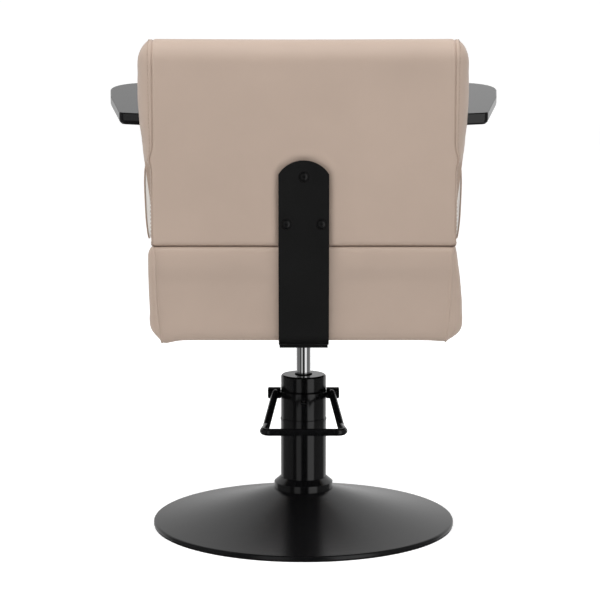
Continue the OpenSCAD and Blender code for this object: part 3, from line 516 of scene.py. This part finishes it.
def refine(piece, ring_size=0, seams=()):
    """Subdivides the piece once and keeps its seam rings sharp."""
    if seams:
        crease = piece.data.attributes.new("crease_edge", "FLOAT", "EDGE")
        for edge in piece.data.edges:
            rings = {v // ring_size for v in edge.vertices}
            if len(rings) == 1 and rings <= set(seams):
                crease.data[edge.index].value = SEAM_CREASE
    subdivision = piece.modifiers.new("subdivision", "SUBSURF")
    subdivision.levels = subdivision.render_levels = 1


# Sewing thread. The arch holds a stitch's heights from end to end, as shares of its thickness
STITCH = 0.0045
STITCH_GAP = 0.0022
STITCH_LIFT = 0.0004
STITCH_ARCH = np.array([-0.6, 0.4, 0.8, 0.4, -0.6])
THREAD_THICK = 0.0007
THREAD_SIDES = 6
# How many rings beyond its seam a row of stitches runs
STITCH_RING = 3


def stitches(name, path, normals, material):
    """Short thread dashes along a path, each a small bar whose ends dip into the leather."""
    verts, faces = [], []
    steps = np.linalg.norm(np.diff(path, axis=0), axis=1)
    distance = np.concatenate([[0], np.cumsum(steps)])
    pitch = STITCH + STITCH_GAP
    rows = len(STITCH_ARCH)
    for k in range(int(distance[-1] / pitch)):
        marks = k * pitch + np.linspace(0, STITCH, rows)
        spine = np.column_stack([np.interp(marks, distance, path[:, i]) for i in range(3)])
        up = np.column_stack([np.interp(marks, distance, normals[:, i]) for i in range(3)])
        up /= np.linalg.norm(up, axis=1)[:, None]
        spine = spine + up * (STITCH_LIFT + STITCH_ARCH * THREAD_THICK)[:, None]
        along = spine[-1] - spine[0]
        along /= np.linalg.norm(along)
        base = len(verts)
        for q, u in zip(spine, up):
            side = np.cross(along, u)
            for a in range(THREAD_SIDES):
                turn = 2 * math.pi * a / THREAD_SIDES
                verts.append(q + (side * math.cos(turn) + u * math.sin(turn)) * THREAD_THICK / 2)
        for row in range(base, base + (rows - 1) * THREAD_SIDES, THREAD_SIDES):
            for a in range(THREAD_SIDES):
                b = (a + 1) % THREAD_SIDES
                faces.append((row + a, row + b, row + THREAD_SIDES + b, row + THREAD_SIDES + a))
        faces.append(tuple(base + a for a in reversed(range(THREAD_SIDES))))
        faces.append(tuple(len(verts) - THREAD_SIDES + a for a in range(THREAD_SIDES)))
    return new_piece(name, verts, faces, material)


def seam_stitches(piece, name, ring_size, ring, material, keep=None):
    """Stitches along one ring of a cushion's vertices, or along the stretch that keep allows."""
    ring_verts = [piece.data.vertices[i] for i in range(ring * ring_size, (ring + 1) * ring_size)]
    path = np.array([v.co[:] for v in ring_verts])
    normals = np.array([v.normal[:] for v in ring_verts])
    if keep is None:
        path = np.concatenate([path, path[:1]])
        normals = np.concatenate([normals, normals[:1]])
    else:
        good = np.array([keep(p) for p in path])
        start = int(np.argmax(good & ~np.roll(good, 1)))
        path, normals, good = (np.roll(a, -start, 0) for a in (path, normals, good))
        path, normals = path[good], normals[good]
    return stitches(name, path, normals, material)


def sew_sides(piece, name, ring_size, seams, material, keep=None):
    """A row of stitches beyond each of a cushion's two side seams."""
    left, right = seams
    for side, ring in (("left", left - STITCH_RING), ("right", right + STITCH_RING)):
        ride_seat(seam_stitches(piece, name + "_stitches_" + side, ring_size, ring, material, keep))


# Cushions

def smooth_step(value, low, high):
    """Eases from 0 at low to 1 at high."""
    t = min(1, max(0, (value - low) / (high - low)))
    return t * t * (3 - 2 * t)


def bell(value, place, width):
    """1 at place, falling away on both sides within about width."""
    return math.exp(-((value - place) / width) ** 2)


def table(*pairs):
    """A function of z that runs straight between (z, value) pairs."""
    places, values = zip(*sorted(pairs))
    return lambda z: float(np.interp(z, places, values))


def pin_seams(pins, ring_size, seams):
    """Fixes the seam rings during the cloth simulation."""
    for seam in seams:
        pins[seam * ring_size:(seam + 1) * ring_size] = 1.0


BACK_REAR = -0.2222
BACK_FRONT = -0.118
BACK_FRONT_TOP = -0.142
# The outline's corners are at the rear foot, the front foot, the front top and the rear top
BACK_RADII = (0.007, 0.02, 0.03, 0.036)
BACK_STEP = 0.0062
# The front's crown, the drop of the top's middle, and the height of the stretch that drops
BACK_CROWN = 0.008
BACK_TOP_DIP = 0.0022
BACK_TOP_BAND = 0.05
# The side domes' middle line: its distance from the foot and the top, and its lean
BACK_AXIS_FOOT = 0.052
BACK_AXIS_TOP = 0.05
BACK_AXIS_LEAN = 0.008
BACK_DOME_DEPTH = 0.045
BACK_REAR_BAND = 0.004
# Half the width between the back's two seams, and the outermost places of its two gussets
BACK_HALF = table((0.53, 0.2543), (0.66, 0.2543), (0.674, 0.2575), (0.69, 0.2530),
                  (0.70, 0.2515), (0.88, 0.2515))
BACK_EDGES = {
    -1: table((0.64, 0.2545), (0.664, 0.2553), (0.672, 0.2640), (0.682, 0.2668), (0.711, 0.2688),
              (0.731, 0.2722), (0.76, 0.2742), (0.807, 0.2765), (0.845, 0.2785), (0.874, 0.2760)),
    1: table((0.64, 0.2545), (0.664, 0.2553), (0.672, 0.2640), (0.682, 0.2660), (0.711, 0.2670),
             (0.731, 0.2700), (0.76, 0.2722), (0.807, 0.2745), (0.845, 0.2765), (0.874, 0.2750))}
# How far the cloth may move a cushion's skin
SWELL = 0.006

STRAP_HALF = 0.04225
STRAP_TOP = 0.675
STRAP_NOSE = 0.05
# Panel columns that follow the strap's edge
STRAP_MARKS = (0.032, 0.037, 0.0405, 0.0425, 0.045, 0.048, 0.052, 0.058)
# The leather's sink at the strap's edge and its swell beyond: depth, distance and width
STRAP_SINK = (0.0016, -0.0005, 0.0035)
STRAP_SWELL = (0.0014, 0.010, 0.006)


def strap_gap(x, z):
    """Distance from the strap's edge in its own plane, below 0 inside."""
    side = abs(x) - STRAP_HALF
    centre = STRAP_TOP - STRAP_NOSE
    nose = math.hypot(x, max(0, z - centre)) - STRAP_NOSE
    return max(side, nose, z - STRAP_TOP)


def press_strap(x, y, z):
    """Leather sinks at the strap's edge and swells just beyond it."""
    gap = strap_gap(x, z)
    if y > BACK_REAR + 0.006 or gap > 0.04 or gap < -0.02:
        return x, y, z
    sink, sink_place, sink_width = STRAP_SINK
    swell, swell_place, swell_width = STRAP_SWELL
    y += sink * bell(gap, sink_place, sink_width) - swell * bell(gap, swell_place, swell_width)
    return x, y, z


def make_back(materials):
    """The back's cushion: one wrapped panel, two swelling gussets and their stitches."""
    low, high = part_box("back_cover")
    corners = [(BACK_REAR, low.z), (BACK_FRONT, low.z), (BACK_FRONT_TOP, high.z), (BACK_REAR, high.z)]
    outline = rounded_outline(corners, BACK_RADII, BACK_STEP)
    middle = (BACK_REAR + BACK_FRONT) / 2

    def crown(p, n):
        height = (p[1] - low.z) / (high.z - low.z)
        front = max(0, n[0]) * BACK_CROWN * math.sin(math.pi * height)
        top = -BACK_TOP_DIP * max(0, n[1]) if p[1] > high.z - BACK_TOP_BAND else 0
        return front + top

    axis = (np.array([middle, low.z + BACK_AXIS_FOOT]),
            np.array([middle - BACK_AXIS_LEAN, high.z - BACK_AXIS_TOP]))
    rings, seams = side_sewn(outline, BACK_HALF, BACK_EDGES, BACK_DOME_DEPTH, crown, axis, STRAP_MARKS)
    verts, faces = skin_rings(rings)
    piece = new_piece("back_cushion", verts, faces, materials["beige_leather"])
    size = len(outline)
    pins = np.full(len(verts), FREE_PIN)
    pin_seams(pins, size, seams)
    rear = verts[:, 1] < BACK_REAR + BACK_REAR_BAND
    pins[rear] = np.maximum(pins[rear], REAR_PIN)
    inflate(piece, pins, SWELL)
    press_seams(piece, size, seams, SEWN_EDGE)
    reshape(piece, press_strap)
    refine(piece, size, seams)
    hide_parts("back_cover", "back_foam", "back_rear_panel")
    ride_seat(piece)
    sew_sides(piece, "back", size, seams, materials["seam_thread"])


# Half the width between the seat's two seams, and the outermost places of its two sides
SEAT_HALF = table((0.368, 0.2400), (0.38, 0.2422), (0.40, 0.2444), (0.43, 0.2468), (0.47, 0.2478),
                  (0.515, 0.2480), (0.5265, 0.2495), (0.5300, 0.2535))
SEAT_EDGES = {
    -1: table((0.368, 0.2440), (0.372, 0.2510), (0.379, 0.2585), (0.390, 0.2622), (0.404, 0.2640),
              (0.437, 0.2640), (0.503, 0.2622), (0.518, 0.2622), (0.529, 0.2600)),
    1: table((0.368, 0.2570), (0.372, 0.2620), (0.379, 0.2670), (0.390, 0.2702), (0.404, 0.2712),
             (0.437, 0.2700), (0.47, 0.2655), (0.503, 0.2595), (0.518, 0.2575), (0.529, 0.2560))}
# The rear face from the bottom edge up to the top edge, as y and z
SEAT_REAR = ((-0.190, 0.3682), (-0.199, 0.370), (-0.2065, 0.3765), (-0.2095, 0.388), (-0.2105, 0.400),
             (-0.2122, 0.420), (-0.2145, 0.440), (-0.2163, 0.458), (-0.2180, 0.471), (-0.2213, 0.483),
             (-0.2243, 0.494), (-0.2253, 0.506), (-0.2252, 0.515), (-0.2246, 0.5235), (-0.2225, 0.5283),
             (-0.2165, 0.5302))
SEAT_STEP = 0.0066
# Its front edge is rounded above and below, and leans a little between
SEAT_NOSE = 0.042
SEAT_CHIN = 0.02
SEAT_LEAN = 0.003
SEAT_LEAN_HEIGHT = 0.44
SEAT_CROWN = 0.013
SEAT_DOME_DEPTH = 0.028
SEAT_AXIS_REAR = -0.14
SEAT_AXIS_FRONT = 0.075
# Clearance below the back's foot and behind the CAD solid's front
SEAT_UNDER = 0.0015
SEAT_BEHIND = 0.003
# Half the width between the two side panels, which stand on the seat
SEAT_OPEN_HALF = 0.222
STRAP_FACE = -0.222
STRAP_KNEE = 0.4895
STRAP_LEAN = 0.11
STRAP_TOUCH = 0.0006
# The flat stretch over the dust cover, as x, y and z
DUST_COVER = ((-0.237, -0.188, 0.3694), (0.237, 0.230, 0.3694))
# How far the lower rear corners hang, about this place, and the lower rear edge
CORNER_DROOP = {-1: 0.006, 1: 0.002}
CORNER_PLACE = 0.231
CORNER_WIDTH = 0.011
EDGE_DROOP = 0.003


def settle_seat(x, y, z):
    """Presses the rear against the strap, hangs the lower corners and clears the dust cover."""
    face = STRAP_FACE + STRAP_LEAN * max(0, STRAP_KNEE - z)
    if y < -0.19 and z > 0.372:
        near = 1 - smooth_step(abs(x), STRAP_HALF + 0.004, STRAP_HALF + 0.028)
        y += near * max(0, face + STRAP_TOUCH - y)
    hang = bell(abs(x), CORNER_PLACE, CORNER_WIDTH)
    hang *= (1 - smooth_step(z, 0.372, 0.41)) * (1 - smooth_step(y, -0.195, -0.15))
    edge = EDGE_DROOP * (1 - smooth_step(z, 0.37, 0.38)) * (1 - smooth_step(y, -0.2, -0.19))
    z -= CORNER_DROOP[-1 if x < 0 else 1] * hang + edge
    (left, rear, lift), (right, ahead, lift) = DUST_COVER
    if z < lift and left < x < right and rear < y < ahead:
        z = lift
    return x, y, z


def make_seat(materials):
    """The seat's cushion: one wrapped panel, two swelling sides and their stitches."""
    low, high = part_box("seat_cover")
    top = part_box("back_cover")[0].z - SEAT_UNDER
    front = high.y - SEAT_BEHIND
    nose = arc_points((front - SEAT_NOSE, top - SEAT_NOSE), SEAT_NOSE, 90, 0, 6)
    chin = arc_points((front - SEAT_CHIN - 0.004, low.z + SEAT_CHIN), SEAT_CHIN, 0, -90, 4)
    level = [(y, top) for y in np.linspace(-0.19, front - 0.06, 9)]
    floor = [(y, low.z) for y in np.linspace(front - 0.04, -0.17, 9)]
    brow = [(front - SEAT_LEAN, SEAT_LEAN_HEIGHT)]
    outline = even_loop(list(SEAT_REAR) + level + nose + brow + chin + floor, SEAT_STEP)

    def crown(p, n):
        free = smooth_step(p[0], BACK_FRONT - 0.01, BACK_FRONT + 0.08)
        fade = 1 - smooth_step(p[0], front - 0.1, front)
        share = free * (0.4 + 0.6 * fade) if p[1] > top - 0.03 else 0
        return max(0, n[1]) * SEAT_CROWN * share + max(0, n[0]) * SEAT_LEAN

    height = (low.z + top) / 2
    axis = (np.array([SEAT_AXIS_REAR, height]), np.array([front - SEAT_AXIS_FRONT, height]))
    rings, seams = side_sewn(outline, SEAT_HALF, SEAT_EDGES, SEAT_DOME_DEPTH, crown, axis, STRAP_MARKS)
    verts, faces = skin_rings(rings)
    piece = new_piece("seat_cushion", verts, faces, materials["beige_leather"])
    size = len(outline)
    pins = np.full(len(verts), FREE_PIN)
    pin_seams(pins, size, seams)
    x, y, z = verts.T
    pins[(z < low.z + 0.004) | (y < -0.2)] = LAID_PIN
    pins[(z > top - 0.01) & ((y < BACK_FRONT) | (abs(x) > SEAT_OPEN_HALF))] = LAID_PIN
    inflate(piece, pins, SWELL)
    press_seams(piece, size, seams, SEWN_EDGE)
    reshape(piece, settle_seat)
    refine(piece, size, seams)
    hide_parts("seat_cover", "seat_foam")
    ride_seat(piece)
    sew_sides(piece, "seat", size, seams, materials["seam_thread"], lambda p: p[2] > low.z + 0.01)


# Where a side panel's outer seam lies, and where it turns in below the top
PANEL_SEAM = table((0.529, 0.2630), (0.55, 0.2655), (0.566, 0.2670), (0.604, 0.2685), (0.627, 0.2690),
                   (0.648, 0.2682), (0.658, 0.2668), (0.665, 0.2630))
PANEL_OUT = {-1: 0.0040, 1: 0.0015}
# The outline's corners are at the rear foot, the front foot, the front top and the rear top
PANEL_RADII = (0.016, 0.018, 0.032, 0.02)
PANEL_STEP = 0.005
PANEL_INSET = 0.003
PANEL_SLOPE = 0.008
# A panel's skins: their rings as shares of the way out from the middle, and their crowns
SKIN_SHARES = (0.03, 0.25, 0.5, 0.72, 0.88, 0.96)
INNER_SKIN = 0.008
INNER_CROWN = 0.0065
OUTER_CROWN = 0.001
# The boxing strip between them
BOXING_COLUMNS = 10
BOXING_PUFF = 0.012
PANEL_PIN = 0.3
PANEL_PRESSURE = 2.5
PANEL_SWELL = 0.0015


def make_side_panel(side, materials):
    """Two leather skins joined by an off-white boxing strip, with a piped edge at each seam."""
    name = "left" if side < 0 else "right"
    low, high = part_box("side_panel_" + name)
    rear, front = low.y + PANEL_INSET, high.y - PANEL_INSET
    corners = [(rear, low.z), (front, low.z), (front - PANEL_SLOPE, high.z), (rear, high.z)]
    outline = rounded_outline(corners, PANEL_RADII, PANEL_STEP)
    centre = outline.mean(0)
    seam_in = min(abs(low.x), abs(high.x)) + INNER_SKIN
    seam_out = np.array([PANEL_SEAM(z) + PANEL_OUT[side] for y, z in outline])

    def ring(x, share):
        return np.column_stack([side * x, centre + (outline - centre) * share])

    rings = []
    for share in SKIN_SHARES:
        rings.append(ring(np.full(len(outline), seam_in - INNER_CROWN * (1 - share ** 3)), share))
    for t in np.linspace(0, 1, BOXING_COLUMNS + 1):
        rings.append(ring(seam_in + (seam_out - seam_in) * t, 1 + BOXING_PUFF * math.sin(math.pi * t)))
    for share in reversed(SKIN_SHARES):
        skin = seam_out * share + seam_out.max() * (1 - share)
        rings.append(ring(skin + OUTER_CROWN * (1 - share ** 3), share))
    seams = (len(SKIN_SHARES), len(SKIN_SHARES) + BOXING_COLUMNS)
    verts, faces = skin_rings(rings)
    if side < 0:
        faces = [face[::-1] for face in faces]
    piece = new_piece("panel_cushion_" + name, verts, faces, materials["beige_leather"])
    piece.data.materials.append(materials["boxing_leather"])
    size = len(outline)
    for face in piece.data.polygons:
        if seams[0] <= min(face.vertices) // size < seams[1]:
            face.material_index = 1
    pins = np.full(len(verts), PANEL_PIN)
    pin_seams(pins, size, seams)
    pins[verts[:, 2] < low.z + 0.003] = 1.0
    inflate(piece, pins, PANEL_SWELL, PANEL_PRESSURE)
    press_seams(piece, size, seams, PIPED_EDGE)
    refine(piece)
    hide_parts("side_panel_" + name)
    ride_seat(piece)
    for label, seam in zip(("inner", "outer"), seams):
        pipe_name = "panel_piping_%s_%s" % (name, label)
        ride_seat(piping(pipe_name, piece, size, seam, materials["beige_leather"]))


PIPE_RADIUS = 0.0012
PIPE_LIFT = 0.0006
PIPE_SIDES = 8


def piping(name, piece, ring_size, ring, material):
    """A round welt along one ring of vertices."""
    ring_verts = [piece.data.vertices[i] for i in range(ring * ring_size, (ring + 1) * ring_size)]
    path = [v.co + v.normal * PIPE_LIFT for v in ring_verts]
    verts, faces = [], []
    for i, p in enumerate(path):
        along = (path[(i + 1) % ring_size] - path[i - 1]).normalized()
        aside = along.cross(ring_verts[i].normal).normalized()
        up = aside.cross(along)
        for k in range(PIPE_SIDES):
            a = 2 * math.pi * k / PIPE_SIDES
            verts.append(p + (aside * math.cos(a) + up * math.sin(a)) * PIPE_RADIUS)
    for i in range(ring_size):
        row, after = i * PIPE_SIDES, (i + 1) % ring_size * PIPE_SIDES
        for k in range(PIPE_SIDES):
            n = (k + 1) % PIPE_SIDES
            faces.append((row + k, row + n, after + n, after + k))
    return new_piece(name, verts, faces, material)


# Stage and light

FLOOR_WHITE = (0.86, 0.86, 0.86)
BACKDROP_GLOW = 0.5
# The floor reaches from behind the camera to the backdrop's bend, and the backdrop rises from it
FLOOR_NEAR = -14.0
FLOOR_FAR = 9.0
FLOOR_HALF = 12.0
BEND_RADIUS = 1.5
BEND_STEPS = 12
BACKDROP_TOP = 9.0


def make_stage():
    """A floor that curves up into a backdrop. Gloss sees the studio's panels instead of it."""
    profile = [(FLOOR_NEAR, 0.0), (FLOOR_FAR, 0.0)]
    for k in range(1, BEND_STEPS + 1):
        a = math.pi / 2 * k / BEND_STEPS
        profile.append((FLOOR_FAR + BEND_RADIUS * math.sin(a), BEND_RADIUS * (1 - math.cos(a))))
    profile.append((FLOOR_FAR + BEND_RADIUS, BACKDROP_TOP))
    verts = [(x, y, z) for y, z in profile for x in (-FLOOR_HALF, FLOOR_HALF)]
    faces = [(2 * i, 2 * i + 1, 2 * i + 3, 2 * i + 2) for i in range(len(profile) - 1)]
    n = Nodes("floor_white")
    path = n.add("ShaderNodeLightPath")
    n.set(Base_Color=n.mix(n.noise(3, 2), shade(FLOOR_WHITE, 0.99), shade(FLOOR_WHITE, 1.01)),
          Roughness=0.9, Specular_IOR_Level=0.0, Emission_Color=(1, 1, 1, 1),
          Emission_Strength=n.math("MULTIPLY", path.outputs["Is Camera Ray"], BACKDROP_GLOW))
    floor = new_piece("floor", verts, faces, n.material)
    floor.visible_glossy = False


# Each lamp's place, the point that it faces, its size and its radiance
LAMP_AIM = (0, 0, 0.6)
LAMPS = {
    "overhead": ((0, -0.75, 3.4), (0, -0.5, 0.6), 3.4, 2.15),
    "fill_left": ((-4.2, -1.6, 2.0), LAMP_AIM, 2.6, 1.45),
    "fill_right": ((4.2, -1.6, 2.0), LAMP_AIM, 2.6, 0.55),
}


def area_light(name, place, target, size, radiance):
    """A square lamp of even radiance. Gloss doesn't mirror it, but sees the studio's ring."""
    data = bpy.data.lights.new(name, "AREA")
    data.shape = "RECTANGLE"
    data.size = data.size_y = size
    data.energy = radiance * math.pi * size * size
    lamp = bpy.data.objects.new(name, data)
    scene.collection.objects.link(lamp)
    lamp.location = place
    lamp.rotation_euler = (Vector(target) - Vector(place)).to_track_quat("-Z", "Y").to_euler()
    lamp.visible_glossy = False


# Strength of the studio as gloss sees it, by the angle round the chair: 0 is behind the chair,
# where the photograph was taken, and 90 is the chair's right side
STUDIO_RING = ((-180, 0.58), (-130, 0.58), (-120, 0.15), (-58, 0.15), (-52, 0.03), (-38, 0.03),
               (-34, 0.45), (-14, 0.45), (-10, 0.01), (19, 0.01), (23, 0.9), (53, 0.9), (57, 0.03),
               (63, 0.15), (120, 0.15), (130, 0.68), (180, 0.68))
# Height, as the sine of the angle above the horizon, where the ring fades to its plain cap
STUDIO_ENDS = (0.7, 0.88)
STUDIO_CAP = 0.03
# How strongly the world lights matt surfaces
DIFFUSE_WORLD = 0.62


def make_world():
    """White for the camera, even light for matt surfaces, and a ring of panels for gloss."""
    world = bpy.data.worlds.new("studio")
    scene.world = world
    world.use_nodes = True
    tree = world.node_tree
    background = tree.nodes["Background"]
    background.inputs["Color"].default_value = (1, 1, 1, 1)
    add = tree.nodes.new

    def put(socket, value):
        if hasattr(value, "is_output"):
            tree.links.new(value, socket)
        else:
            socket.default_value = value

    def calculate(operation, *values):
        node = add("ShaderNodeMath")
        node.operation = operation
        for socket, value in zip(node.inputs, values):
            put(socket, value)
        return node.outputs[0]

    def blend(factor, low, high):
        node = add("ShaderNodeMix")
        node.data_type = "FLOAT"
        put(node.inputs["Factor"], factor)
        put(node.inputs[2], low)
        put(node.inputs[3], high)
        return node.outputs[0]

    parts = add("ShaderNodeSeparateXYZ")
    put(parts.inputs[0], add("ShaderNodeTexCoord").outputs["Generated"])
    behind = calculate("MULTIPLY", parts.outputs["Y"], -1.0)
    turn = calculate("ARCTAN2", parts.outputs["X"], behind)
    place = calculate("MULTIPLY_ADD", turn, 0.5 / math.pi, 0.5)
    ring = add("ShaderNodeValToRGB")
    stops = ring.color_ramp.elements
    for angle, level in STUDIO_RING[1:-1]:
        stops.new((angle + 180) / 360)
    brightest = max(level for angle, level in STUDIO_RING)
    for stop, (angle, level) in zip(stops, STUDIO_RING):
        share = level / brightest
        stop.color = (share, share, share, 1)
    put(ring.inputs["Fac"], place)
    gloss = calculate("MULTIPLY", ring.outputs["Color"], brightest)
    steep = add("ShaderNodeMapRange")
    steep.interpolation_type = "SMOOTHSTEP"
    put(steep.inputs["Value"], calculate("ABSOLUTE", parts.outputs["Z"]))
    steep.inputs["From Min"].default_value, steep.inputs["From Max"].default_value = STUDIO_ENDS
    gloss = blend(steep.outputs["Result"], gloss, STUDIO_CAP)
    path = add("ShaderNodeLightPath")
    strength = blend(path.outputs["Is Glossy Ray"], DIFFUSE_WORLD, gloss)
    strength = blend(path.outputs["Is Camera Ray"], strength, 1.0)
    strength = blend(path.outputs["Is Transmission Ray"], strength, 1.0)
    put(background.inputs["Strength"], strength)


make_camera()
kit = make_materials()
dress_frame(kit)
make_back(kit)
make_seat(kit)
for left_or_right in (-1, 1):
    make_side_panel(left_or_right, kit)
make_stage()
make_world()
for lamp_name, settings in LAMPS.items():
    area_light(lamp_name, *settings)
scene.view_settings.view_transform = "Standard"
